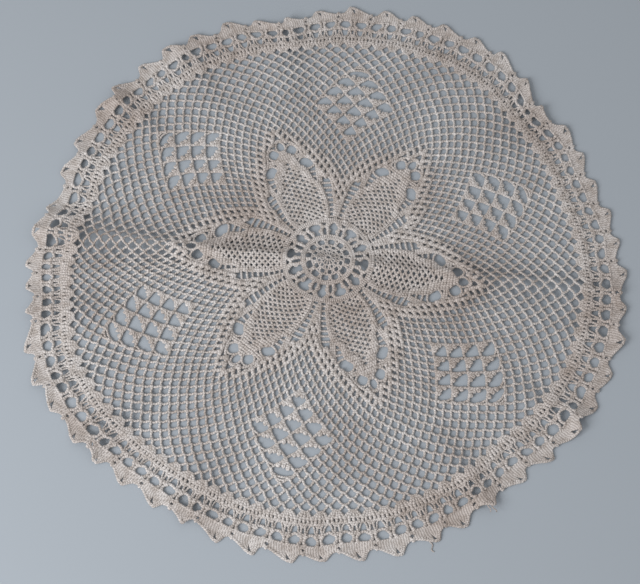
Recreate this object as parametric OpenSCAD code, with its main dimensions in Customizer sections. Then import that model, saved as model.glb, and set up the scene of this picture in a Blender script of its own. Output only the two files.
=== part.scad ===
// Round crocheted lace doily, lying flat: a six-petal flower on an open chain mesh,
// six picot lozenges between the petals and a scalloped border. Lengths are in
// millimetres and angles in degrees, +Z is up and the origin is the middle of the
// underside. Every round is drawn in polar places (angle, radius), and lay() then
// pulls the whole lace a little out of true, as a hand-worked piece lies.

/* [Lace] */
// Thickness of the worked cotton
lace_t = 1.4; // [0.8:0.1:3]
// Width of the thread bar between two gaps of the mesh
strand_w = 2; // [1.2:0.1:3]
// Width of the closed edge beside an opening
rim_w = 0.8; // [0.5:0.1:1.2]

/* [Centre] */
// Radius of the closed centre rosette
rosette_r = 16.2; // [14:0.1:20]
// Distance of the rosette's small gaps from the centre
rosette_gap_r = 12; // [8:0.1:12.5]
// Width and height of one small gap in the rosette
rosette_gap = 3.6; // [1:0.1:4]
// Height of the round of paired trebles
treble_h = 8.4; // [5:0.1:10]
// Width of the opening between two pairs of trebles
treble_gap_w = 6; // [3:0.1:6.5]
// Width of the slit inside a pair of trebles
treble_slit_w = 1.5; // [0.6:0.1:2]
// Height of the closed round that the petals grow from
base_h = 3; // [2:0.1:6]

/* [Petals] */
// Half width of a petal where it leaves the closed round
petal_root_hw = 10.5; // [8:0.1:11.5]
// Half width of a petal at its belly
petal_belly_hw = 15.2; // [12:0.1:16]
// Length of a petal's belly
petal_belly_len = 26.9; // [25:0.1:32]
// Half width of a petal above its belly
petal_shoulder_hw = 11; // [8:0.1:12]
// Length of a petal's shoulder
petal_shoulder_len = 9.4; // [8:0.1:12]
// Half width of a petal's neck
petal_neck_hw = 6.2; // [4:0.1:7]
// Length of a petal's neck
petal_neck_len = 11; // [9:0.1:14]
// Half width of a petal's tip
petal_tip_hw = 1.9; // [1:0.1:2.5]
// Length of a petal's tip
petal_tip_len = 4.8; // [3:0.1:6]
// Length over which a petal steps in to its next width
petal_step = 1.2; // [0.5:0.1:2]

/* [Arches] */
// Height of the dense arch over a petal's tip
roof_h = 18; // [14:0.1:22]
// Height of the dense wedge between two petals
wedge_h = 28.6; // [27:0.1:34]
// Closed length below the lowest ladder slit
ladder_foot = 0.9; // [0.4:0.1:2]
// Height of a ladder slit
slit_h = 2; // [1:0.1:2.4]
// Width of the bar between two ladder slits
rung_w = 1.25; // [0.6:0.05:1.6]
// Half width of the spine between two ladders at its foot
spine_foot_hw = 0.9; // [0.5:0.1:2]
// Half width of the spine between two ladders at its head
spine_head_hw = 7; // [5:0.1:8]
// Width of the slits beside a petal's shoulder
side_slit_w = 3.6; // [2:0.1:5]
// Width of the large oval over a petal's shoulder
oval_w = 8; // [5:0.1:9]
// Height of the large oval over a petal's shoulder
oval_h = 6.4; // [4:0.1:7]
// Width of the two ovals beside a petal's tip
tip_oval_w = 5.4; // [3:0.1:6]
// Height of the two ovals beside a petal's tip
tip_oval_h = 6.6; // [4:0.1:7]
// Width of the hole over a petal's tip
tip_hole_w = 4; // [2:0.1:4.4]
// Height of the hole over a petal's tip
tip_hole_h = 6.6; // [4:0.1:8]

/* [Mesh] */
// Height of a row of mesh gaps
row_h = 10.8; // [10:0.1:12]
// Closed height of the mesh above the foot of the wedge
mesh_foot = 3.6; // [2:0.1:6]

/* [Lozenges] */
// Height of a row of picot fans
fan_row_h = 7.2; // [6.5:0.05:7.6]
// Height of the opening over a fan
fan_gap_h = 6.6; // [4:0.1:7]
// Width of the opening over a fan, as an angle seen from the centre
fan_gap_angle = 4.4; // [3:0.1:4.8]

/* [Border] */
// Height of the dense round of fans round the mesh
fan_h = 9.4; // [7:0.1:14]
// Height of the round of eyelets
eyelet_h = 6.6; // [5.6:0.1:10]
// Width of an eyelet
eyelet_w = 6.4; // [3:0.1:7.5]
// Height of an eyelet
eyelet_gap_h = 5; // [3:0.1:5.2]
// Height of a scallop's tip over the eyelet round
scallop_h = 9; // [7:0.1:14]
// Depth of the valley between two scallops
scallop_dip = 5.2; // [2:0.1:6]

/* [Pull of the hand] */
// Turn of the first petal from the +X direction
first_petal = 50; // [0:0.5:60]
// Pull of the whole lace towards one side
pull_one = 2; // [0:0.1:3]
// Pull of the edge into an oval
pull_two = 1.5; // [0:0.1:3]
// Pull of the edge into three lobes
pull_three = 1.6; // [0:0.1:3]
// Pull of the edge into five lobes
pull_five = 3.2; // [0:0.1:4]
// Swing of the motifs towards one side, in degrees
swing_one = 1.4; // [0:0.1:3]
// Swing of the petal that lies along a fold, in degrees
swing_fold = 4; // [0:0.1:5]

/* [Hidden] */
// Counts that the pattern is worked in
repeats = 6;
fans_per_repeat = 9;
eyelets_per_repeat = 18;
mesh_columns = 6;
mesh_rows_over = 7;
mesh_rows_under = 2;
lozenge_rows = 7;
treble_pairs = 12;
ladder_slits = 9;
side_slits = 3;
// Steps of the polygons that stand for round edges
ring_steps = 36;
belly_steps = 7;
arch_steps = 6;
rim_steps = 12;
// Angles of one repeat
repeat = 360 / repeats;
half_repeat = repeat / 2;
fan_pitch = repeat / fans_per_repeat;
column = repeat / mesh_columns;
// Directions of the widest places of each pull and swing
pull_one_at = 202;
pull_two_at = 48;
pull_three_at = 77;
pull_five_at = 55;
swing_one_at = 112;
swing_fold_at = 170;
swing_fold_spread = 13;
// Dents of the edge: direction, depth in millimetres and spread in degrees
dents = [
    [38, -7.4, 7], [87, 1.8, 4], [100, -4.4, 6], [166, -4.1, 4], [189, -5, 7],
    [272, -3.3, 6], [310, -2.7, 5],
];
// Share of a full belly curve that a petal shows, in degrees
belly_turn = 100;
// Place of a scallop's crown along its width, and its drop as a share of the dip
crown_at = 0.28;
crown_drop = 0.25;
// Radii of the rounds, from the centre out
treble_r = rosette_r + treble_h;
base_r = treble_r + base_h;
belly_r = base_r + petal_belly_len;
shoulder_r = belly_r + petal_shoulder_len;
neck_r = shoulder_r + petal_neck_len;
tip_r = neck_r + petal_tip_len;
apex_r = tip_r + roof_h;
wedge_r = base_r + wedge_h;
lozenge_r = wedge_r + mesh_foot + mesh_rows_under * row_h;
mesh_r = lozenge_r + mesh_rows_over * row_h;
fan_r = mesh_r + fan_h;
eyelet_r = fan_r + eyelet_h;
edge_r = eyelet_r + scallop_h;
lozenge_top_r = lozenge_r + (lozenge_rows + 1) * fan_row_h;
// Angle from a petal's axis to the edge of its root
root_angle = asin(petal_root_hw / base_r);
ladder_pitch = slit_h + rung_w;
cotton = "#cfc8bf";
cotton_shade = "#c4b8ad";

numbers = [1 : repeats];

// Rounded bump about the direction b, with its spread in degrees
function bump(a, b, spread) = exp(-pow(((a - b + 540) % 360 - 180) / spread, 2));
function total(list, i = 0) = i < len(list) ? list[i] + total(list, i + 1) : 0;

// Uneven pull and dents of the edge, and swing of the motifs, in the direction a
function pull(a) =
    pull_two * cos(2 * (a - pull_two_at))
    + pull_three * cos(3 * (a - pull_three_at))
    + pull_five * cos(5 * (a - pull_five_at));
function dent(a) = total([for (d = dents) d[1] * bump(a, d[0], d[2])]);
function swing(a) =
    swing_one * cos(a - swing_one_at)
    + swing_fold * bump(a, swing_fold_at, swing_fold_spread);

// Place on the table of a polar place of the true pattern
function lay(a, r) =
    let (
        out = r / edge_r,
        turned = a + swing(a),
        pulled = r + pull_one * cos(turned - pull_one_at) * out
            + pull(turned) * pow(out, 2) + dent(turned) * pow(out, 5)
    )
    [pulled * cos(turned), pulled * sin(turned)];
function axis(k) = first_petal + (k - 1) * repeat;
function lay_all(k, places) = [for (p = places) lay(axis(k) + p[0], p[1])];
function mirrored(places) =
    [for (i = [len(places) - 1 : -1 : 0]) [-places[i][0], places[i][1]]];

// Angle that a length w spans at the radius r
function span(w, r) = w / r * 180 / PI;

// Four-sided, five-sided and six-sided gaps about a polar place
function diamond(a, r, hw, hh) = [[a + hw, r], [a, r + hh], [a - hw, r], [a, r - hh]];
function eye(a, r, hw, hh) =
    [for (t = [0 : 60 : 300]) [a + hw * cos(t), r + hh * sin(t)]];
function roofed(a, r, hw, hh) = [
    [a - hw, r - hh / 4], [a - hw / 2, r - hh / 2], [a + hw / 2, r - hh / 2],
    [a + hw, r - hh / 4], [a, r + hh],
];

function ring(r) =
    [for (i = [0 : ring_steps - 1]) [i * 360 / ring_steps, r]];
function rim(r) =
    [for (i = [0 : rim_steps]) [-half_repeat + i * repeat / rim_steps, r]];

// Half width of a petal at the radius r, along its belly
function belly_hw(r) =
    petal_root_hw
    + (petal_belly_hw - petal_root_hw) * sin(belly_turn * (r - base_r) / petal_belly_len);
function petal_place(hw, r) = [asin(hw / r), r];
petal_side = concat(
    [for (i = [0 : belly_steps])
        let (r = base_r + petal_belly_len * i / belly_steps)
        petal_place(belly_hw(r), r)],
    [
        petal_place(petal_shoulder_hw, belly_r + petal_step),
        petal_place(petal_shoulder_hw, shoulder_r),
        petal_place(petal_neck_hw, shoulder_r + petal_step),
        petal_place(petal_neck_hw, neck_r),
        petal_place(petal_tip_hw, neck_r + petal_step),
        petal_place(petal_tip_hw, tip_r),
    ]
);
petal_root = [for (i = [-1 : 1]) [i * root_angle / 2, base_r]];

// Outer edge of the arches, from the wedge on one side of a petal to its axis
function arch_r(a) = apex_r - (apex_r - wedge_r) * abs(a) / half_repeat;
arch_side = [for (i = [0 : arch_steps - 1])
    let (a = half_repeat * (1 - i / arch_steps))
    [a, arch_r(a)]];
arch_edge = concat(arch_side, [[0, apex_r]], mirrored(arch_side));

// Edge of a lozenge: its half width in degrees at the radius r
function lozenge_hw(r) =
    fan_pitch / 2 / fan_row_h * min(r - lozenge_r, lozenge_top_r - r);
lozenge_side = [for (i = [0 : lozenge_rows + 1])
    let (r = lozenge_r + i * fan_row_h)
    [lozenge_hw(r), r]];

// Boundary of two neighbouring mesh sectors, which steps round the lowest gap
mesh_seam = [
    [0, wedge_r],
    [0, wedge_r + mesh_foot],
    [column / 2, wedge_r + mesh_foot + row_h],
];
function shifted(places, a) = [for (p = places) [p[0] + a, p[1]]];
function reversed(places) = [for (i = [len(places) - 1 : -1 : 0]) places[i]];

// Share of a mesh cell that is open when its bars are strand_w wide
function mesh_open(r) =
    let (w = column / 2 * PI / 180 * r)
    1 - strand_w / 2 * sqrt(w * w + row_h * row_h) / (w * row_h);

// Places of the mesh gaps of one sector that clear the arch, the lozenges and the rim
function clears_arch(a, r, hw, hh) =
    r > arch_r(max(abs(a) - hw, 0)) + rim_w && r - hh > arch_r(a) + rim_w;
function clears_lozenge(d, r, hw, hh) =
    let (edge = span(rim_w, r))
    abs(d) - hw > lozenge_hw(r) + edge
    && abs(d) > max(lozenge_hw(r + hh), lozenge_hw(r - hh)) + edge;
function clears_seam(d, r) = d != 0 || r < lozenge_r;
mesh_gaps = [for (m = [-mesh_rows_under : mesh_rows_over - 1])
    for (i = [1 : mesh_columns])
        let (
            a = -half_repeat + (i - (m % 2 == 0 ? 0.5 : 0)) * column,
            d = half_repeat - abs(a),
            r = lozenge_r + m * row_h,
            hw = mesh_open(r) * column / 2,
            hh = mesh_open(r) * row_h
        )
        if (clears_arch(a, r, hw, hh) && clears_lozenge(d, r, hw, hh) && clears_seam(d, r)
            && r + hh < mesh_r - rim_w)
            diamond(a, r, hw, hh)];
hem_gaps = [for (i = [1 : mesh_columns - 1])
    let (
        a = -half_repeat + i * column,
        r = mesh_r - rim_w,
        open = mesh_open(mesh_r)
    )
    [[a - open * column / 2, r], [a + open * column / 2, r], [a, r - open * row_h]]];

// Flat worked lace with its gaps, in the repeat k
module lace(k, outline, gaps = [], tint = cotton) {
    color(tint)
        linear_extrude(lace_t)
            difference() {
                polygon(lay_all(k, outline));
                for (gap = gaps)
                    polygon(lay_all(k, gap));
            }
}

// Solid start of the work, with a ring of small gaps
module center_rosette() {
    gaps = [for (i = [1 : treble_pairs])
        diamond(
            i * 360 / treble_pairs, rosette_gap_r,
            span(rosette_gap / 2, rosette_gap_r), rosette_gap / 2
        )];
    lace(1, ring(rosette_r), gaps);
}

// Pairs of long trebles with a wide opening between the pairs
module treble_round() {
    middle_r = rosette_r + treble_h / 2;
    open_hh = treble_h / 2 - rim_w;
    step = 360 / treble_pairs;
    openings = [for (i = [1 : treble_pairs])
        eye(i * step, middle_r, span(treble_gap_w / 2, middle_r), open_hh)];
    slits = [for (i = [1 : treble_pairs])
        diamond((i + 0.5) * step, middle_r, span(treble_slit_w / 2, middle_r), open_hh)];
    lace(1, ring(treble_r), concat([ring(rosette_r)], openings, slits));
}

// Closed round that carries the petals and the wedges between them
module petal_base_round() {
    outer = [for (k = numbers)
        for (p = concat([[-half_repeat, base_r], [-root_angle, base_r]],
                        petal_root, [[root_angle, base_r]]))
            [p[0] + (k - 1) * repeat, p[1]]];
    lace(1, outer, [ring(treble_r)]);
}

// Close-worked petal with a full belly, a shoulder, a neck and a tip
module petal(k) {
    lace(k, concat(petal_root, petal_side, mirrored(petal_side)), tint = cotton_shade);
}

// Ladders, ovals and dense arch that frame a petal and carry it
module petal_arch(k) {
    outline = concat(
        arch_edge,
        [[-half_repeat, base_r]],
        reversed(mirrored(petal_side)),
        reversed(petal_side),
        [[half_repeat, base_r]]
    );
    side = concat(ladder(), shoulder_slits(), [shoulder_oval()], [tip_oval()]);
    lace(k, outline, concat(side, [for (gap = side) mirrored(gap)], [tip_hole()]));
}

// Slits between a petal's belly and the spine of the wedge
function spine_hw(r) =
    spine_foot_hw + (spine_head_hw - spine_foot_hw) * (r - base_r) / petal_belly_len;
function slit_inner(r) = petal_place(belly_hw(r), r)[0] + span(rim_w, r);
function slit_outer(r) = half_repeat - span(spine_hw(r), r);
function ladder() = [for (i = [0 : ladder_slits - 1])
    let (
        low = base_r + ladder_foot + i * ladder_pitch,
        high = low + slit_h
    )
    if (slit_inner(low) < slit_outer(low) && high < belly_r + rim_w)
        [
            [slit_inner(low), low], [slit_outer(low), low],
            [slit_outer(high), high], [slit_inner(high), high],
        ]];

// Slits beside the shoulder, and the ovals that ring the tip
function shoulder_slits() = [for (i = [0 : side_slits - 1])
    let (
        low = belly_r + petal_step + rim_w + i * ladder_pitch,
        high = low + slit_h,
        inner = petal_place(petal_shoulder_hw, low)[0] + span(rim_w, low)
    )
    if (high < shoulder_r + petal_step)
        [
            [inner, low], [inner + span(side_slit_w, low), low],
            [inner + span(side_slit_w, low), high], [inner, high],
        ]];
function shoulder_oval() =
    let (
        r = shoulder_r + petal_step + rim_w + oval_h / 2,
        x = petal_neck_hw + rim_w + oval_w / 2
    )
    eye(asin(x / r), r, span(oval_w / 2, r), oval_h / 2);
function tip_oval() =
    let (
        r = neck_r + petal_step + rim_w + tip_oval_h / 2,
        x = petal_tip_hw + rim_w + tip_oval_w / 2
    )
    eye(asin(x / r), r, span(tip_oval_w / 2, r), tip_oval_h / 2);
function tip_hole() =
    let (r = tip_r + rim_w + tip_hole_h / 2)
    eye(0, r, span(tip_hole_w / 2, r), tip_hole_h / 2);

// Chain mesh round a petal's arch, between two half lozenges
module mesh_ground(k) {
    seam = shifted(mesh_seam, half_repeat);
    far_seam = shifted(mesh_seam, -half_repeat);
    outline = concat(
        seam,
        shifted(mirrored(reversed(lozenge_side)), half_repeat),
        reversed(rim(mesh_r)),
        shifted(reversed(lozenge_side), -half_repeat),
        reversed(far_seam),
        reversed(arch_edge)
    );
    lace(k, outline, concat(mesh_gaps, hem_gaps));
}

// Lozenge of picot fans with an opening over each fan
module picot_lozenge(k) {
    fans = [for (row = [1 : lozenge_rows])
        let (count = min(row, lozenge_rows + 1 - row))
        for (i = [1 : count])
            roofed(
                (i - (count + 1) / 2) * fan_pitch, lozenge_r + row * fan_row_h,
                fan_gap_angle / 2, fan_gap_h / 2
            )];
    outline = concat(lozenge_side, mirrored(lozenge_side));
    lace(k, shifted(outline, half_repeat),
        [for (gap = fans) shifted(gap, half_repeat)], tint = cotton_shade);
}

// Dense fans that close the mesh
module fan_round(k) {
    lace(k, concat(rim(mesh_r), reversed(rim(fan_r))), tint = cotton_shade);
}

// Round of large eyelets
module eyelet_round(k) {
    middle_r = fan_r + eyelet_h / 2;
    pitch = repeat / eyelets_per_repeat;
    gaps = [for (i = [1 : eyelets_per_repeat])
        eye(
            (i - 0.5) * pitch - half_repeat, middle_r,
            span(eyelet_w / 2, middle_r), eyelet_gap_h / 2
        )];
    lace(k, concat(rim(fan_r), reversed(rim(eyelet_r))), gaps);
}

// Scalloped edge, one fan of trebles to two eyelets
module scallop_edge(k) {
    valley_r = edge_r - scallop_dip;
    crown_r = edge_r - scallop_dip * crown_drop;
    crest = [[0, valley_r], [crown_at, crown_r], [0.5, edge_r], [1 - crown_at, crown_r]];
    crests = [for (i = [0 : fans_per_repeat - 1])
        for (p = crest)
            [(i + p[0]) * fan_pitch - half_repeat, p[1]]];
    lace(k, concat(crests, [[half_repeat, valley_r]], reversed(rim(eyelet_r))));
}

center_rosette();
treble_round();
petal_base_round();
for (k = numbers) {
    petal(k);
    petal_arch(k);
    mesh_ground(k);
    picot_lozenge(k);
    fan_round(k);
    eyelet_round(k);
    scallop_edge(k);
}
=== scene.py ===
import math
import random

import bmesh
import bpy
import numpy as np
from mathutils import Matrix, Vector, noise


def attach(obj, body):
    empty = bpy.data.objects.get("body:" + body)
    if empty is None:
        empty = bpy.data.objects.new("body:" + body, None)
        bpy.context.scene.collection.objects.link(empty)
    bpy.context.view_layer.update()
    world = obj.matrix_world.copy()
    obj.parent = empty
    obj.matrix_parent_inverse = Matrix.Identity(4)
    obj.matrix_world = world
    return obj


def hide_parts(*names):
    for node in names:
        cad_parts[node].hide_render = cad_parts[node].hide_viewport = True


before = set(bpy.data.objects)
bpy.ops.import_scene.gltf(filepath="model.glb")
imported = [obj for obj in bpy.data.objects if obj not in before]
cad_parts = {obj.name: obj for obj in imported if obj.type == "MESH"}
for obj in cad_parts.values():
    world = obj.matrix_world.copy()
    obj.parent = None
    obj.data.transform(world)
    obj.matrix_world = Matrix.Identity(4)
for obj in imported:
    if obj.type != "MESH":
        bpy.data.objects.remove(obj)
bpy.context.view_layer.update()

# Centre rosette: the start of the doily, a chain ring with rounds of arches that leave diamond gaps.
# It is crocheted in ecru cotton, one thread for the whole doily, and each later round hooks into it.
# The lace lies on a table as it came out of a drawer, so its fold and its uneven pull start here.
mm = 0.001
repeats = 6
repeat_angle = 360 / repeats
half_repeat = repeat_angle / 2
first_petal = 50.0

edge_r = 182.0
side_pull = 2.0
side_pull_at = 202.0
edge_waves = ((1.5, 2, 48.0), (1.6, 3, 77.0), (3.2, 5, 55.0))
dents = (
    (38.0, -7.4, 7.0), (87.0, 1.8, 4.0), (100.0, -4.4, 6.0), (166.0, -4.1, 4.0), (189.0, -5.0, 7.0),
    (272.0, -3.3, 6.0), (310.0, -2.7, 5.0),
)
dent_power = 5
swing_size = 1.4
swing_at = 112.0
fold_swing = 4.0
fold_swing_at = 170.0
fold_swing_spread = 13.0
slacks = ((13.0, 0.45, 0.8), (36.0, 0.5, 1.5))
slack_seed = 7
noise.seed_set(slack_seed)

fold_angle = -6.3
fold_offset = -2.1
fold_height = 4.2
fold_width = 4.6
fold_fade = 0.35
ruffles = (
    (38.0, 3.6, 6.0), (99.0, 4.2, 4.0), (122.0, 2.6, 4.0), (141.0, 4.6, 2.6), (156.0, 2.6, 3.5),
    (171.0, 6.4, 3.0), (191.0, 3.4, 4.0), (206.0, 2.8, 3.5), (220.0, 4.4, 2.6), (243.0, 2.6, 4.0),
    (301.0, 4.6, 2.4), (325.0, 4.6, 2.4), (345.0, 2.4, 4.0),
)
ruffle_power = 7
tuck_size = 1.8
tuck_spread = 3.0
tucks = (38.0, 99.0, 122.0, 141.0, 156.0, 171.0, 191.0, 206.0, 222.0, 243.0, 302.0, 326.0)


def off_angle(angle, middle):
    """Angle from a middle direction, between -180 and 180 degrees."""
    return (angle - middle + 180) % 360 - 180


def bump(angle, middle, spread):
    """Rounded bump of height 1 about a direction."""
    return math.exp(-((off_angle(angle, middle) / spread) ** 2))


def wave_sum(waves, angle):
    """Sum of cosine waves round the doily, each of a size, a count and the angle of its crest."""
    return sum(size * math.cos(math.radians(count * (angle - crest))) for size, count, crest in waves)


def lift(x, y):
    """How high the lace stands off the table: the old fold across the middle and the edge's ruffles."""
    turn = math.radians(fold_angle)
    across = y * math.cos(turn) - x * math.sin(turn) - fold_offset
    fold = fold_height * (1 - fold_fade * x / edge_r) / (1 + (across / fold_width) ** 2)
    angle = math.degrees(math.atan2(y, x))
    reach = (math.hypot(x, y) / edge_r) ** ruffle_power
    return fold + reach * sum(height * bump(angle, crest, spread) for crest, height, spread in ruffles)


def lay(angle, radius, height):
    """Place of the pattern as it lies on the table, in metres, with the same pull as the solids."""
    out = radius / edge_r
    turned = angle + swing_size * math.cos(math.radians(angle - swing_at))
    turned += fold_swing * bump(angle, fold_swing_at, fold_swing_spread)
    pulled = radius + side_pull * out * math.cos(math.radians(turned - side_pull_at))
    pulled += wave_sum(edge_waves, turned) * out**2
    pulled += sum(depth * bump(turned, at, spread) for at, depth, spread in dents) * out**dent_power
    tucked = turned
    for at in tucks:
        aside = off_angle(turned, at) / tuck_spread
        tucked -= tuck_size * aside * math.exp(-(aside**2)) * out**ruffle_power
    x = pulled * math.cos(math.radians(tucked))
    y = pulled * math.sin(math.radians(tucked))
    place = Vector((x, y, height + lift(x, y)))
    for grain, inside, edge in slacks:
        slack = noise.noise_vector(Vector((x, y, 0)) / grain)
        place += Vector((slack.x, slack.y, 0)) * (inside + edge * out**dent_power)
    return place * mm


point_gap = 0.85 * mm
smooth_steps = 4
stitch_points = 3
bead = 0.07
ply_turn = math.radians(70)
ply_sway = math.radians(30)
thread_rise = 0.47


def smooth_line(places):
    """Places on a smooth line through the given ones."""
    ends = [places[0], *places, places[-1]]
    line = []
    for before, start, stop, after in zip(ends, ends[1:], ends[2:], ends[3:]):
        for step in range(smooth_steps):
            t = step / smooth_steps
            place = []
            for a, b, c, d in zip(before, start, stop, after):
                bend = a - 2.5 * b + 2 * c - d / 2
                turn = 1.5 * (b - c) + (d - a) / 2
                place.append(b + (c - a) * t / 2 + bend * t**2 + turn * t**3)
            line.append(tuple(place))
    return [*line, places[-1]]


def thread(motif, places):
    """Adds to a motif one thread through places of (angle, radius, layer, width), in degrees and mm."""
    line = smooth_line(places)
    points = [lay(angle, radius, layer + thread_rise * width) for angle, radius, layer, width in line]
    marks = [0.0]
    for start, stop in zip(points, points[1:]):
        marks.append(marks[-1] + (stop - start).length)
    gaps = max(2, round(marks[-1] / point_gap))
    laid = []
    spot = 0
    for i in range(gaps + 1):
        mark = marks[-1] * i / gaps
        while spot < len(marks) - 2 and marks[spot + 1] < mark:
            spot += 1
        share = (mark - marks[spot]) / (marks[spot + 1] - marks[spot])
        width = line[spot][3] + (line[spot + 1][3] - line[spot][3]) * share
        stitch = 1 + bead * math.cos(2 * math.pi * i / stitch_points)
        sway = ply_sway * math.sin((i + len(motif)) * ply_turn)
        laid.append((points[spot].lerp(points[spot + 1], share), width / 2 * mm * stitch, sway))
    motif.append(laid)


ply_sides = 6
ply_wide = 1.02
ply_thin = 0.82
ply_shape = bpy.data.curves.new("ply", "CURVE")
ply_shape.dimensions = "3D"
ply_line = ply_shape.splines.new("POLY")
ply_line.points.add(ply_sides - 1)
ply_line.use_cyclic_u = True
for i, point in enumerate(ply_line.points):
    turn = 2 * math.pi * i / ply_sides
    point.co = (ply_wide * math.cos(turn), ply_thin * math.sin(turn), 0, 1)
ply = bpy.data.objects.new("ply", ply_shape)
bpy.context.collection.objects.link(ply)

cotton_roughness = 0.82
cotton_gloss = 0.3
sheen = 0.25
sheen_roughness = 0.45
bleached = (0.715, 0.685, 0.672, 1)
aged = (0.545, 0.485, 0.455, 1)
age_scale = 17.0
age_detail = 3
age_range = (0.36, 0.66)
soil_dark = (0.76, 0.735, 0.71, 1)
# White: no soil and no painted shade, the light end of both the soil and the groove ramps.
unsoiled_unshaded = (1, 1, 1, 1)
soil_scale = 230.0
soil_detail = 2
soil_range = (0.34, 0.6)
stitch_length = 1.5 * mm
stitch_top = 0.25
stitch_vee = 2.4
stitch_depth = 0.1 * mm
stitch_strength = 0.9
strand_half = 0.5
# Painted shade: a darker colour laid in the grooves between the stitch strands, where shade falls.
painted_shade_colour = (0.66, 0.635, 0.615, 1)
painted_shade_range = (0.05, 0.5)
fibre_scale = 2600.0
fibre_detail = 2
fibre_depth = 0.12 * mm
fibre_strength = 0.35

cotton = bpy.data.materials.new("ecru_cotton")
cotton.use_nodes = True
nodes = cotton.node_tree.nodes
links = cotton.node_tree.links
where = nodes.new("ShaderNodeTexCoord")


def cloudy(scale, detail):
    """A cloudy pattern that runs through the whole lace."""
    cloud = nodes.new("ShaderNodeTexNoise")
    cloud.inputs["Scale"].default_value = scale
    cloud.inputs["Detail"].default_value = detail
    links.new(where.outputs["Object"], cloud.inputs["Vector"])
    return cloud.outputs["Fac"]


def shaded(pattern, stops, colours):
    """A colour that goes from one shade to another over a range of a pattern."""
    ramp = nodes.new("ShaderNodeValToRGB")
    for element, stop, colour in zip(ramp.color_ramp.elements, stops, colours):
        element.position = stop
        element.color = colour
    links.new(pattern, ramp.inputs["Fac"])
    return ramp.outputs["Color"]


def darkened(colour, shade):
    """A colour darkened by a shade."""
    mix = nodes.new("ShaderNodeMixRGB")
    mix.blend_type = "MULTIPLY"
    mix.inputs["Fac"].default_value = 1
    links.new(colour, mix.inputs["Color1"])
    links.new(shade, mix.inputs["Color2"])
    return mix.outputs["Color"]


def reckoned(operation, pattern, *values):
    """One sum on a pattern, with numbers or a second pattern."""
    step = nodes.new("ShaderNodeMath")
    step.operation = operation
    links.new(pattern, step.inputs[0])
    for socket, value in zip(step.inputs[1:], values):
        if isinstance(value, float):
            socket.default_value = value
        else:
            links.new(value, socket)
    return step.outputs["Value"]


def raised(pattern, strength, depth):
    """Relief of a depth from a pattern."""
    relief = nodes.new("ShaderNodeBump")
    relief.inputs["Strength"].default_value = strength
    relief.inputs["Distance"].default_value = depth
    links.new(pattern, relief.inputs["Height"])
    return relief


spun = nodes.new("ShaderNodeUVMap")
spun.uv_map = "UVMap"
along = nodes.new("ShaderNodeSeparateXYZ")
links.new(spun.outputs["UV"], along.inputs["Vector"])
off_top = reckoned("ABSOLUTE", reckoned("SUBTRACT", along.outputs["Y"], stitch_top))
vee = reckoned("MULTIPLY_ADD", off_top, stitch_vee, along.outputs["X"])
strand = reckoned("SINE", reckoned("MULTIPLY", vee, 2 * math.pi))
strand_share = reckoned("MULTIPLY_ADD", strand, strand_half, strand_half)

tint = shaded(cloudy(age_scale, age_detail), age_range, (bleached, aged))
soil = shaded(cloudy(soil_scale, soil_detail), soil_range, (soil_dark, unsoiled_unshaded))
# The cloudy soil is real dirt; the groove ramp is painted shade, darker in the grooves between stitch
# strands.
painted_groove_shade = shaded(strand_share, painted_shade_range, (painted_shade_colour, unsoiled_unshaded))
stitched = raised(strand, stitch_strength, stitch_depth)
fuzzy = raised(cloudy(fibre_scale, fibre_detail), fibre_strength, fibre_depth)
links.new(stitched.outputs["Normal"], fuzzy.inputs["Normal"])

shader = nodes["Principled BSDF"]
shader.inputs["Roughness"].default_value = cotton_roughness
shader.inputs["Sheen Weight"].default_value = sheen
shader.inputs["Sheen Roughness"].default_value = sheen_roughness
shader.inputs["Specular IOR Level"].default_value = cotton_gloss
# Base colour: the aged tint, darkened by soil and by painted shade in the stitch grooves.
links.new(darkened(darkened(tint, soil), painted_groove_shade), shader.inputs["Base Color"])
links.new(fuzzy.outputs["Normal"], shader.inputs["Normal"])

quad_corners = 4
triangle_corners = 3
end_triangles = 2 * (ply_sides - 2)


def worked(node, motif):
    """Works a motif's threads into one piece of lace that stands for its solid, marked off in stitches."""
    curve = bpy.data.curves.new(node, "CURVE")
    curve.dimensions = "3D"
    curve.twist_mode = "Z_UP"
    curve.bevel_mode = "OBJECT"
    curve.bevel_object = ply
    curve.use_fill_caps = True
    for laid in motif:
        line = curve.splines.new("POLY")
        line.points.add(len(laid) - 1)
        for point, (place, radius, turn) in zip(line.points, laid):
            point.co = (*place, 1)
            point.radius = radius
            point.tilt = turn
    drawn = bpy.data.objects.new(node, curve)
    bpy.context.collection.objects.link(drawn)
    made = bpy.data.meshes.new_from_object(drawn.evaluated_get(bpy.context.evaluated_depsgraph_get()))
    bpy.data.objects.remove(drawn)
    piece = bpy.data.objects.new(f"lace_{node}", made)
    bpy.context.collection.objects.link(piece)
    made.shade_smooth()
    stitches = made.uv_layers["UVMap"].uv
    corner_places = np.zeros((len(made.loops), 2), dtype=np.float32)
    stitches.foreach_get("vector", corner_places.ravel())
    start = len(motif) * end_triangles * triangle_corners
    for laid in motif:
        length = sum((after[0] - before[0]).length for before, after in zip(laid, laid[1:]))
        stop = start + (len(laid) - 1) * ply_sides * quad_corners
        corner_places[start:stop, 0] *= length / stitch_length
        start = stop
    stitches.foreach_set("vector", corner_places.ravel())
    made.materials.clear()
    made.materials.append(cotton)
    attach(piece, "root")
    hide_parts(node)
    return piece


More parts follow.
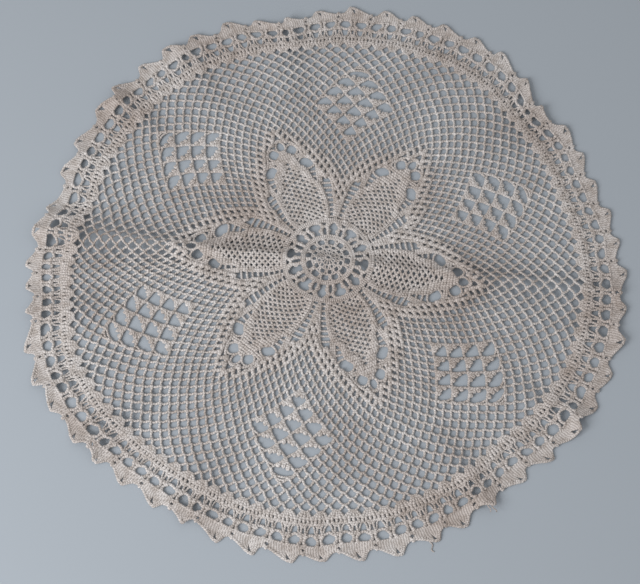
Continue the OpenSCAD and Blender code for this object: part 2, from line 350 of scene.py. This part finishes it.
bed = 0.0
over = 0.3
rosette_steps = 48
rosette_lap = 2
rosette_rings = ((1.7, 1.3), (4.6, 0.9), (6.9, 1.1), (9.8, 1.2), (14.6, 1.7), (15.7, 1.7))
gaps_round = 12
gap_step = 360 / gaps_round
gap_rounds = (
    (0.0, ((12.4, 10.0), (12.8, 12.0), (9.6, 13.7), (0.0, 14.3)), 1.5),
    (0.5, ((11.0, 7.2), (11.6, 8.4), (7.6, 9.7), (0.0, 10.0)), 1.2),
    (0.0, ((10.0, 4.9), (10.4, 5.8), (6.6, 6.7), (0.0, 7.0)), 1.0),
)
rays = 14
ray_foot_r = 1.9
ray_top_r = 4.8
ray_width = 1.0
band_posts = 84
band_foot_r = 14.1
band_top_r = 16.6
band_layer = 0.6
band_post_width = 1.25


def ring(motif, radius, width):
    """A round of stitches all the way round, with its last stitches over its first."""
    steps = range(rosette_steps + rosette_lap)
    thread(motif, [(first_petal + 360 * i / rosette_steps, radius, bed, width) for i in steps])


def spokes(motif, count, foot_r, top_r, layer, width):
    """A round of posts from one radius to another."""
    for i in range(count):
        angle = first_petal + 360 * i / count
        thread(motif, [(angle, foot_r, layer, width), (angle, top_r, layer, width)])


def arc(motif, axis, places, width):
    """A stitch over an opening through places of one side, which the other side mirrors."""
    line = [(axis + angle, radius, bed, width) for angle, radius in places]
    line += [(axis - angle, radius, bed, width) for angle, radius in places[-2::-1]]
    thread(motif, line)


rosette = []
for radius, width in rosette_rings:
    ring(rosette, radius, width)
for shift, places, width in gap_rounds:
    for i in range(gaps_round):
        arc(rosette, first_petal + (i + shift) * gap_step, places, width)
spokes(rosette, rays, ray_foot_r, ray_top_r, bed, ray_width)
spokes(rosette, band_posts, band_foot_r, band_top_r, band_layer, band_post_width)
lace_rosette = worked("center_rosette", rosette)

# Treble round: pairs of long trebles with openings between them, rounded and pointed by turns.
# It is worked into the rosette's last round, with a picot on each treble, and carries the petals' round.
pairs = 12
pair_step = 360 / pairs
rounded_opening = (
    (9.2, 16.2), (8.8, 18.4), (9.7, 20.0), (11.6, 21.6), (11.8, 23.2), (8.8, 24.9), (4.2, 25.6),
    (0.0, 25.7),
)
pointed_opening = (
    (9.2, 16.2), (8.9, 18.5), (9.5, 20.6), (8.9, 22.8), (5.6, 24.6), (1.8, 26.1), (0.0, 26.5),
)
pointed_shoulder = ((11.2, 21.6), (10.4, 23.6), (7.0, 25.4))
treble_width = 2.2
slit_bar_r = 22.5
slit_bar_half = 4.5
picot_reach = 2.6
picot_places = ((0.0, 18.3), (1.0, 18.9), (1.0, 20.1), (0.0, 20.6))
picot_foot = 8.4
picot_width = 1.25

trebles = []
for i in range(pairs):
    opening = first_petal + i * pair_step
    side_places = pointed_opening if i % 2 else rounded_opening
    arc(trebles, opening, side_places, treble_width)
    for side in (-1, 1):
        if i % 2:
            thread(trebles, [(opening + side * a, r, bed, treble_width) for a, r in pointed_shoulder])
        picot_line = []
        for reach, radius in picot_places:
            out = picot_foot - picot_reach * reach
            picot_line.append((opening + side * out, radius, over, picot_width))
        thread(trebles, picot_line)
    slit = opening + pair_step / 2
    bar = [(slit + share * slit_bar_half, slit_bar_r, bed, treble_width) for share in (-1, 0, 1)]
    thread(trebles, bar)
lace_trebles = worked("treble_round", trebles)

# Petal base round: a close round of short stitches that the six petals grow from.
# It is worked over the treble round's arcs, which leave a small three-cornered gap over every pair.
base_rings = ((25.9, 1.5), (27.2, 1.5))
base_posts = 132
base_foot_r = 25.3
base_top_r = 28.0
base_layer = 0.8
base_post_width = 1.4
base = []
for radius, width in base_rings:
    ring(base, radius, width)
spokes(base, base_posts, base_foot_r, base_top_r, base_layer, base_post_width)
lace_base = worked("petal_base_round", base)

# Petals: six close-worked petals with a belly, a shoulder, a neck and a tip, pierced by a lattice.
# Each is crocheted in rows to and fro from the base round, and the rows swing apart where it is pierced.
numbers = range(1, repeats + 1)
petal_axes = [first_petal + (number - 1) * repeat_angle for number in numbers]
petal_root_r = 28.2
petal_tip_r = 79.2
petal_widths = (
    (27.6, 10.5), (32.0, 12.4), (40.0, 14.2), (48.0, 15.0), (53.4, 14.7), (55.8, 11.8), (62.8, 11.2),
    (65.5, 9.8), (67.5, 7.6), (71.0, 6.5), (74.2, 5.9), (76.0, 4.2), (77.8, 2.3), (80.0, 1.6),
)
lattice_widths = (
    (27.6, 6.0), (29.0, 8.0), (35.0, 10.9), (47.0, 12.0), (52.0, 10.8), (55.0, 7.4), (61.0, 7.0),
    (64.0, 2.6), (65.5, 1.8), (70.5, 1.6), (72.0, -2.0), (81.0, -2.0),
)
row_pitch = 1.7
row_shift = 0.10
row_swing = 0.76
lattice_fade = 1.2
column_near = 2.05
column_far = 2.47
column_near_r = 31.0
column_far_r = 44.0
lattice_width = 1.62
close_width = 2.3
rim_width = 1.5
rim_inset = 0.5


def between(stations, at):
    """Value at a place along stations of (place, value)."""
    for (start, low), (stop, high) in zip(stations, stations[1:]):
        if at <= stop:
            share = max(0, at - start) / (stop - start)
            return low + (high - low) * share
    return stations[-1][1]


def petal_half(radius, inset):
    """Half the petal's width less an inset, as an angle."""
    return math.degrees(math.asin((between(petal_widths, radius) - inset) / radius))


petals = []
for number, axis in zip(numbers, petal_axes):
    petal = []
    rows = round((petal_tip_r - petal_root_r) / row_pitch)
    for row in range(rows + 1):
        side = 1 if row % 2 else -1
        radius = petal_root_r + row * row_pitch + side * row_shift
        half = between(petal_widths, radius) - rim_inset
        pierced = between(lattice_widths, radius)
        column = between(((column_near_r, column_near), (column_far_r, column_far)), radius)
        steps = math.ceil(half / (column / 2))
        places = []
        for step in range(-steps, steps + 1):
            x = max(-half, min(half, step * column / 2))
            open_share = min(1, max(0, (pierced + lattice_fade - abs(x)) / lattice_fade))
            swing = side * row_swing * open_share * math.cos(math.pi * x / column)
            width = close_width + (lattice_width - close_width) * open_share
            places.append((axis + math.degrees(x / radius), radius + swing, bed, width))
        thread(petal, places)
    for side in (-1, 1):
        rim = []
        for radius, width in petal_widths:
            rim.append((axis + side * petal_half(radius, rim_inset), radius, bed, rim_width))
        thread(petal, rim)
    petals.append(worked(f"petal_{number}", petal))

# Petal arches: ladders up each petal's sides, ovals at its shoulder and tip, and a dense arch round it.
# They are worked with the petals: bars of chain leave the slits and ovals, and thick rounds of chain
# arches, the first of the mesh, close in to the arch and leave only small gaps.
rungs = 8
rung_first_r = 29.6
rung_pitch = 3.05
rung_growth = 0.03
rung_rise = 0.4
rung_width = 1.45
rung_lap = 0.8
bridge_angles = (14.8, 15.9, 17.0)
bridge_foot_r = 53.6
bridge_width = 1.6
spine_rows = 8
spine_first_r = 28.6
spine_pitch = 1.75
spine_width = 2.2
arch_inner = (
    (0.0, 87.6), (4.5, 84.5), (7.5, 79.2), (8.2, 76.0), (9.6, 73.3), (14.1, 68.7), (15.2, 64.0),
    (16.2, 60.4), (17.6, 57.8), (22.2, 56.0), (24.2, 52.0), (25.6, 46.0), (26.4, 41.0), (28.2, 29.0),
)
arch_rim_width = 1.9
arch_rim_out = 0.3
arch_apex_r = 97.7
arch_wedge_r = 56.2
arch_clearance = 1.2
arch_margin = 1.2
arch_width = 2.45
bars = ((57.8, 0.3), (61.3, 0.4))
bar_width = 1.5
neck_bars = (((4.4, 72.8), (8.8, 73.8)), ((4.2, 74.2), (8.0, 75.2)))
neck_bar_width = 1.7
shoulder_oval = (
    (14.2, 67.0), (13.1, 69.8), (10.8, 72.2), (8.2, 72.6), (6.1, 70.7), (5.5, 67.9), (6.7, 65.0),
    (8.9, 64.0), (12.0, 64.7),
)
tip_oval = (
    (7.0, 79.0), (6.0, 81.8), (4.1, 83.2), (2.2, 81.7), (1.2, 79.0), (1.5, 76.2), (3.0, 74.5),
    (5.6, 75.6),
)
tip_hole = (
    (0.0, 78.6), (1.4, 80.2), (1.95, 83.0), (1.25, 85.9), (0.0, 87.0), (-1.25, 85.9), (-1.95, 83.0),
    (-1.4, 80.2),
)
oval_width = 1.5
mesh_first_r = 56.2
mesh_pitch = 3.6
loops_per_repeat = 18
loop_angle = repeat_angle / loops_per_repeat
wedge_loop_angle = 4.1
wedge_end_r = 104.0
arch_fullness = 0.74
arch_rounds = range(-4, 13)


def loop(motif, axis, side, places, width):
    """A closed loop of chain round an opening, with its last stitches over its first."""
    turned = [*places, *places[:2]]
    thread(motif, [(axis + side * angle, radius, bed, width) for angle, radius in turned])


def mesh_knot(round_number, half_loops):
    """Top of an arch: its angle off the lozenge's axis and its radius."""
    radius = mesh_first_r + mesh_pitch * round_number
    ease = min(1, max(0, (radius - mesh_first_r) / (wedge_end_r - mesh_first_r)))
    ease = ease * ease * (3 - 2 * ease)
    pitch = wedge_loop_angle + (loop_angle - wedge_loop_angle) * ease
    return half_loops * pitch / 2 * max(1, mesh_first_r / radius), radius


def lattice(motif, axis, rounds, inside, chain, knot):
    """Rounds of chain arches in the two half repeats beside a petal's axis, wherever they are inside."""
    for side in (-1, 1):
        for round_number in rounds:
            run = []
            for half_loops in range(loops_per_repeat + 1):
                at_top = (half_loops - round_number) % 2
                here = mesh_knot(round_number - 1 + at_top, half_loops)
                there = mesh_knot(round_number - at_top, half_loops + 1)
                low, high = sorted((here[1], there[1]))
                middle = ((here[0] + there[0]) / 2, low + arch_fullness * (high - low))
                if not run:
                    run = [(*here, bed if at_top else over, chain if at_top else knot)]
                if half_loops < loops_per_repeat and inside(*middle):
                    run.append((*middle, bed, chain))
                    run.append((*there, over if at_top else bed, knot if at_top else chain))
                    continue
                if len(run) > 1:
                    off_axis = [(side * (half_repeat - angle), *rest) for angle, *rest in run]
                    thread(motif, [(axis + angle, *rest) for angle, *rest in off_axis])
                run = []


def arch_top(angle):
    """Radius where the arch gives way to the open mesh, at an angle off the lozenge's axis."""
    fall = (arch_apex_r - arch_wedge_r) * (half_repeat - angle) / half_repeat
    return arch_clearance + arch_apex_r - fall


def in_arch(angle, radius):
    """Whether a place, at an angle off the lozenge's axis, is on the dense arch."""
    edge = between(arch_inner, half_repeat - angle) + arch_margin
    return angle <= half_repeat and edge < radius <= arch_top(angle)


arches = []
for number, axis in zip(numbers, petal_axes):
    arch = []
    lattice(arch, axis, arch_rounds, in_arch, arch_width, arch_width)
    edge_by_r = [(radius, angle) for angle, radius in reversed(arch_inner)]
    for side in (-1, 1):
        for i in range(rungs):
            radius = rung_first_r + rung_pitch * i + rung_growth * i**2
            lap = math.degrees(rung_lap / radius)
            foot = (axis + side * petal_half(radius, rung_lap), radius, bed, rung_width)
            top = (axis + side * (between(edge_by_r, radius) + lap), radius + rung_rise, bed, rung_width)
            thread(arch, [foot, top])
        for row in range(spine_rows):
            radius = spine_first_r + row * spine_pitch
            foot = (axis + side * between(edge_by_r, radius), radius, bed, spine_width)
            top = (axis + side * half_repeat, radius, bed, spine_width)
            thread(arch, [foot, top])
        rim = []
        for angle, radius in arch_inner:
            rim.append((axis + side * angle, radius + arch_rim_out, bed, arch_rim_width))
        thread(arch, rim)
        for radius, rise in bars:
            foot = (axis + side * petal_half(radius, rung_lap), radius, bed, bar_width)
            top = (axis + side * between(edge_by_r, radius), radius + rise, bed, bar_width)
            thread(arch, [foot, top])
        for angle in bridge_angles:
            foot = (axis + side * angle, bridge_foot_r, bed, bridge_width)
            top = (axis + side * angle, between(arch_inner, angle), bed, bridge_width)
            thread(arch, [foot, top])
        for bar in neck_bars:
            thread(arch, [(axis + side * angle, radius, bed, neck_bar_width) for angle, radius in bar])
        loop(arch, axis, side, shoulder_oval, oval_width)
        loop(arch, axis, side, tip_oval, oval_width)
    loop(arch, axis, 1, tip_hole, oval_width)
    arches.append(worked(f"petal_arch_{number}", arch))

# Mesh ground: rounds of chain arches, each arch hooked into the tops of two arches of the round before.
# It fills the doily between the petal arches, the lozenges and the border, and narrows to a wedge.
mesh_rounds = range(1, 28)
chain_width = 1.45
knot_width = 1.75
lozenge_foot_r = 81.4
lozenge_rows = (1, 2, 3, 4, 3, 2, 1)
lozenge_pitch = 2 * mesh_pitch
lozenge_middle_r = lozenge_foot_r + max(lozenge_rows) * lozenge_pitch
lozenge_half = max(lozenge_rows) * loop_angle
lozenge_clearance = 0.4


def in_mesh(angle, radius):
    """Whether a place, at an angle off the lozenge's axis, is on the open mesh."""
    reach = lozenge_half * (1 - abs(radius - lozenge_middle_r) / (lozenge_middle_r - lozenge_foot_r))
    return angle <= half_repeat and radius > arch_top(angle) and angle > reach - lozenge_clearance


grounds = []
for number, axis in zip(numbers, petal_axes):
    ground = []
    lattice(ground, axis, mesh_rounds, in_mesh, chain_width, knot_width)
    grounds.append(worked(f"mesh_ground_{number}", ground))

# Picot lozenges: sixteen small fans in rows of one to four and back, each with three picots on top.
# Each fan is worked into the joint of two fans below it, which leaves a round-roofed opening over each.
fan_posts = (-1.0, -0.6, -0.2, 0.2, 0.6, 1.0)
fan_post = ((0.15, 0.0, 0.0), (0.6, 2.2, 0.0), (1.6, 2.9, 1.1), (3.0, 3.4, 3.2))
fan_post_width = 1.7
fan_chain = ((-3.33, 7.2), (-2.4, 5.7), (-1.2, 4.0), (0.0, 3.4), (1.2, 4.0), (2.4, 5.7), (3.33, 7.2))
fan_chain_width = 1.3
fan_picots = ((-1.3, 4.0), (0.0, 3.3), (1.3, 4.0))
fan_picot_tall = 1.9
fan_picot_width = 1.9
knob_half = 0.25
knob_sides = ((-1, 0), (-1.1, 0.8), (0, 1), (1.1, 0.8), (1, 0))
picot_seed = 3
picot_slip = 0.22
picot_stretch = 0.6
roof = ((3.33, 7.2), (2.9, 9.6), (1.6, 11.6), (-0.4, 12.6))
last_roofs = (
    ((-3.33, 7.2), (-2.6, 9.6), (0.0, 11.0), (2.6, 9.6), (3.33, 7.2)),
    ((-3.33, 8.0), (-2.2, 11.2), (0.0, 12.8), (2.2, 11.2), (3.33, 8.0)),
)


def picot(motif, angle, radius, tall, width):
    """A small knob of chain that stands up from a row."""
    half = math.degrees(knob_half * width / radius)
    thread(motif, [(angle + out * half, radius + up * tall, over, width) for out, up in knob_sides])


def lace_line(motif, axis, radius, places, width, side=1):
    """A chain through places given as an angle off an axis and a height over a radius."""
    thread(motif, [(axis + side * angle, radius + up, bed, width) for angle, up in places])


draws = random.Random(picot_seed)
lozenges = []
for number, petal_axis in zip(numbers, petal_axes):
    axis = petal_axis + half_repeat
    lozenge = []
    for row, count in enumerate(lozenge_rows):
        foot_r = lozenge_foot_r + row * lozenge_pitch
        for i in range(count):
            fan_axis = axis + (i - (count - 1) / 2) * 2 * loop_angle
            for place in fan_posts:
                post = [(place * angle, up + cup * place**2) for angle, up, cup in fan_post]
                lace_line(lozenge, fan_axis, foot_r, post, fan_post_width)
            lace_line(lozenge, fan_axis, foot_r, fan_chain, fan_chain_width)
            for angle, up in fan_picots:
                slip = draws.uniform(-picot_slip, picot_slip)
                tall = fan_picot_tall + draws.uniform(-picot_stretch, picot_stretch)
                picot(lozenge, fan_axis + angle + slip, foot_r + up, tall, fan_picot_width)
            closing = row >= len(lozenge_rows) // 2
            if closing and count == 1:
                for places in last_roofs:
                    lace_line(lozenge, fan_axis, foot_r, places, chain_width)
            elif closing and i in (0, count - 1):
                lace_line(lozenge, fan_axis, foot_r, roof, chain_width, -1 if i == 0 else 1)
    lozenges.append(worked(f"picot_lozenge_{number}", lozenge))

# Fan round: the dense round that closes the mesh, a fan of trebles on every arch of its last round.
# The fans touch in a close band, and above it their posts draw together again and leave a small gap.
whole_posts = (-1.0, 1.0)
short_posts = (-0.52, 0.0, 0.52)
fan_post_line = (
    (0.13, 153.0, 1.7), (0.27, 154.6, 1.8), (0.43, 156.4, 2.0), (0.50, 157.9, 2.0), (0.48, 159.4, 1.9),
    (0.38, 160.8, 1.3), (0.30, 162.4, 1.1), (0.27, 164.0, 1.2), (0.20, 165.6, 1.6),
)
crossed = (
    (0.30, 158.8, 1.8), (0.19, 160.4, 1.7), (0.12, 162.0, 1.4), (0.12, 163.6, 1.4), (0.18, 166.0, 2.0),
)
short_points = 6
treble_slip = 0.025
treble_stretch = 0.4
treble_thin = 0.2
fan_ties = (
    ((-0.46, 157.4), (0.0, 156.8), (0.46, 157.4)),
    ((-0.36, 159.9), (0.0, 160.3), (0.36, 159.9)),
    ((-0.12, 161.6), (0.12, 161.6)),
    ((-0.20, 166.4), (0.0, 165.9), (0.20, 166.4)),
)
fan_tie_width = 1.7
gap_picots = ((0.46, 1.2), (0.56, 0.7))
gap_picot_foot = 159.8
gap_picot_width = 1.2
border_places = range(loops_per_repeat)


def border_line(motif, axis, places, side=1):
    """A thread through places given as a share of a loop's angle off an axis, a radius and a width."""
    line = [(axis + side * share * loop_angle, radius, bed, width) for share, radius, width in places]
    thread(motif, line)


fan_rounds = []
for number, petal_axis in zip(numbers, petal_axes):
    start = petal_axis - half_repeat
    fans = []
    for i in border_places:
        axis = start + i * loop_angle
        for place in (*whole_posts, *short_posts):
            points = len(fan_post_line) if place in whole_posts else short_points
            thin = draws.uniform(-treble_thin, treble_thin)
            post = []
            for out, radius, width in fan_post_line[:points]:
                slip = draws.uniform(-treble_slip, treble_slip)
                stretch = draws.uniform(-treble_stretch, treble_stretch)
                post.append((place * out + slip, radius + stretch, width + thin))
            border_line(fans, axis, post)
        for side in (-1, 1):
            border_line(fans, axis, crossed, side)
        for places in fan_ties:
            border_line(fans, axis, [(*place, fan_tie_width) for place in places])
        for share, tall in gap_picots:
            picot(fans, axis + share * loop_angle, gap_picot_foot, tall, gap_picot_width)
    fan_rounds.append(worked(f"fan_round_{number}", fans))

# Eyelet round: large oval eyelets with a pair of posts between every two.
# A chain arc from fan to fan makes each eyelet's bottom, and the posts lean in or out by turns.
eyelet_bottom = ((0.0, 167.0), (0.2, 166.7), (0.5, 165.5), (0.8, 166.7))
eyelet_width = 1.8
eyelet_slip = 0.06
eyelet_sag = 0.35
eyelet_lean = 0.14
post_middle = 0.5
lean_out = ((0.17, 166.4, 2.4), (0.10, 168.2, 1.9), (0.09, 170.0, 1.9), (0.22, 172.2, 2.5))
lean_in = ((0.23, 166.6, 2.4), (0.11, 168.4, 1.9), (0.09, 170.2, 1.9), (0.18, 172.2, 2.5))
eyelet_rounds = []
for number, petal_axis in zip(numbers, petal_axes):
    start = petal_axis - half_repeat
    eyelets = []
    bottoms = []
    for i in border_places:
        axis = start + i * loop_angle
        for share, radius in eyelet_bottom:
            slip = 0.0
            sag = 0.0
            if share:
                slip = draws.uniform(-eyelet_slip, eyelet_slip)
                sag = draws.uniform(-eyelet_sag, eyelet_sag)
            bottoms.append((axis + (share + slip) * loop_angle, radius + sag, bed, eyelet_width))
        lean = draws.uniform(-eyelet_lean, eyelet_lean)
        line = lean_in if i % 2 else lean_out
        tall = line[-1][1] - line[0][1]
        for side in (-1, 1):
            post = []
            for share, radius, width in line:
                rise = (radius - line[0][1]) / tall
                post.append((side * share + lean * (rise - post_middle), radius, width))
            border_line(eyelets, axis, post)
    bottoms.append((start + repeat_angle, eyelet_bottom[0][1], bed, eyelet_width))
    thread(eyelets, bottoms)
    eyelet_rounds.append(worked(f"eyelet_round_{number}", eyelets))

# Scalloped edge: one leaning scallop of two treble fans over every two eyelets, a picot in each valley.
# The trebles fan out from the post pair below, and a thick rope of chain turns over the longer flank.
scallop_seed = 5
scallop_lean = 0.11
scallop_tall = 0.9
scallops = 9
treble_count = 12
long_feet = ((0.03, 172.9), (0.03, 175.2), (-0.02, 176.9))
long_ends = (
    (-1.02, 173.1), (-0.84, 174.4), (-1.02, 176.2), (-0.55, 177.9), (-0.20, 179.8), (-0.03, 180.8),
)
short_feet = ((-0.03, 172.9), (-0.03, 175.2), (0.05, 176.9))
short_ends = ((1.02, 173.1), (0.84, 174.4), (1.02, 175.9), (0.68, 176.8), (0.50, 179.2), (0.36, 181.0))
foot_width = 1.15
end_width = 1.75
rope = ((-1.0, 176.1), (-0.72, 177.1), (-0.38, 178.8), (-0.10, 180.4), (0.16, 181.5))
rope_width = 1.8
steep_rim = ((0.12, 180.8), (0.30, 181.8), (0.44, 180.0), (0.60, 177.4), (0.80, 176.3), (1.0, 176.1))
steep_width = 1.4
scallop_row_r = 172.3
scallop_row_width = 1.6
tip_knobs = ((-0.03, 180.2), (0.22, 180.7))
tip_knob_width = 1.6
tip_knob_tall = 0.9
valley_foot_r = 176.0
valley_tall = 1.5
valley_width = 1.7
loose_ends = (
    (289.6, ((0.0, -4.4), (-0.3, -1.6), (0.2, 1.0), (-0.2, 3.2), (0.2, 4.6))),
    (302.0, ((0.0, -4.4), (0.4, -2.0), (0.2, 0.2), (0.5, 1.8), (0.1, 3.0))),
    (302.0, ((0.0, -4.4), (-0.4, -2.2), (-0.4, -0.4), (-0.9, 1.0))),
)
loose_width = 0.7
draws = random.Random(scallop_seed)


def along_line(places, share):
    """Place at a share of the way along a few places."""
    at = share * (len(places) - 1)
    i = min(int(at), len(places) - 2)
    return tuple(a + (b - a) * (at - i) for a, b in zip(places[i], places[i + 1]))


def leant(place, lean, tall):
    """Place of a scallop that leans to one side and stands taller or lower than most."""
    rise = (place[1] - scallop_row_r) / (edge_r - scallop_row_r)
    return place[0] + lean * rise, place[1] + tall * rise


edges = []
for number, petal_axis in zip(numbers, petal_axes):
    start = petal_axis - half_repeat
    edge = []
    row_places = [start + i * loop_angle / 2 for i in range(2 * loops_per_repeat + 1)]
    thread(edge, [(angle, scallop_row_r, bed, scallop_row_width) for angle in row_places])
    for i in range(scallops):
        axis = start + (2 * i + 1) * loop_angle
        lean = draws.uniform(-scallop_lean, scallop_lean)
        tall = draws.uniform(-scallop_tall, scallop_tall)
        for feet, ends in ((long_feet, long_ends), (short_feet, short_ends)):
            for stitch in range(treble_count):
                share = stitch / (treble_count - 1)
                foot = leant(along_line(feet, share), lean, tall)
                end = leant(along_line(ends, share), lean, tall)
                border_line(edge, axis, [(*foot, foot_width), (*end, end_width)])
        for places, width in ((rope, rope_width), (steep_rim, steep_width)):
            border_line(edge, axis, [(*leant(place, lean, tall), width) for place in places])
        for place in tip_knobs:
            share, radius = leant(place, lean, tall)
            picot(edge, axis + share * loop_angle, radius, tip_knob_tall, tip_knob_width)
        picot(edge, axis - loop_angle, valley_foot_r, valley_tall, valley_width)
    for angle, places in loose_ends:
        if start <= angle < start + repeat_angle:
            lace_line(edge, angle, edge_r, places, loose_width)
    edges.append(worked(f"scallop_edge_{number}", edge))
bpy.data.objects.remove(ply)

# Cloth: worked flat in one piece, the lace is a soft sheet of crocheted cotton, laid on a table.
# Each repeat of the mesh ground is listed with the motifs and border worked onto it, and the first also
# with the middle of the doily; the list is not used further.
for i, ground in enumerate(grounds):
    on_ground = [petals[i], arches[i], lozenges[i], fan_rounds[i], eyelet_rounds[i], edges[i]]
    if i == 0:
        on_ground += [lace_rosette, lace_trebles, lace_base]

# Table and light: a plain pale table under one broad soft lamp from the left and an even room light.
# The camera stands where the photograph was taken, in front of the doily and well above it.
table_colour = (0.37, 0.41, 0.455, 1)
table_roughness = 0.9
table_size = 6.0
table_data = bpy.data.meshes.new("table")
table_form = bmesh.new()
bmesh.ops.create_grid(table_form, x_segments=1, y_segments=1, size=table_size / 2)
table_form.to_mesh(table_data)
table_form.free()
table = bpy.data.objects.new("table", table_data)
bpy.context.collection.objects.link(table)
table_finish = bpy.data.materials.new("table_finish")
table_finish.use_nodes = True
table_shader = table_finish.node_tree.nodes["Principled BSDF"]
table_shader.inputs["Base Color"].default_value = table_colour
table_shader.inputs["Roughness"].default_value = table_roughness
table_data.materials.append(table_finish)

lamp_place = Vector((-0.85, -0.62, 0.72))
lamp_power = 13.0
lamp_size = 0.7
lamp_data = bpy.data.lights.new("lamp", "AREA")
lamp_data.energy = lamp_power
lamp_data.size = lamp_size
lamp = bpy.data.objects.new("lamp", lamp_data)
lamp.location = lamp_place
lamp.rotation_euler = (-lamp_place).to_track_quat("-Z", "Y").to_euler()
bpy.context.collection.objects.link(lamp)

room_colour = (1, 1, 1, 1)
room_level = 0.5
room = bpy.data.worlds.new("room")
room.use_nodes = True
room.node_tree.nodes["Background"].inputs["Color"].default_value = room_colour
room.node_tree.nodes["Background"].inputs["Strength"].default_value = room_level
bpy.context.scene.world = room

photo_width = 640
photo_height = 584
centre_x = 328.3
centre_y = 260.5
camera_tilt = math.radians(67.2)
camera_distance = 0.807
focal_pixels = 1323
sensor = 36.0
camera_data = bpy.data.cameras.new("camera")
camera_data.sensor_width = sensor
camera_data.lens = sensor * focal_pixels / photo_width
camera_data.shift_x = (photo_width / 2 - centre_x) / photo_width
camera_data.shift_y = (centre_y - photo_height / 2) / photo_width
camera = bpy.data.objects.new("camera", camera_data)
camera.location = Vector((0, -math.cos(camera_tilt), math.sin(camera_tilt))) * camera_distance
camera.rotation_euler = (math.pi / 2 - camera_tilt, 0, 0)
bpy.context.collection.objects.link(camera)
bpy.context.scene.camera = camera
bpy.context.scene.view_settings.view_transform = "Standard"
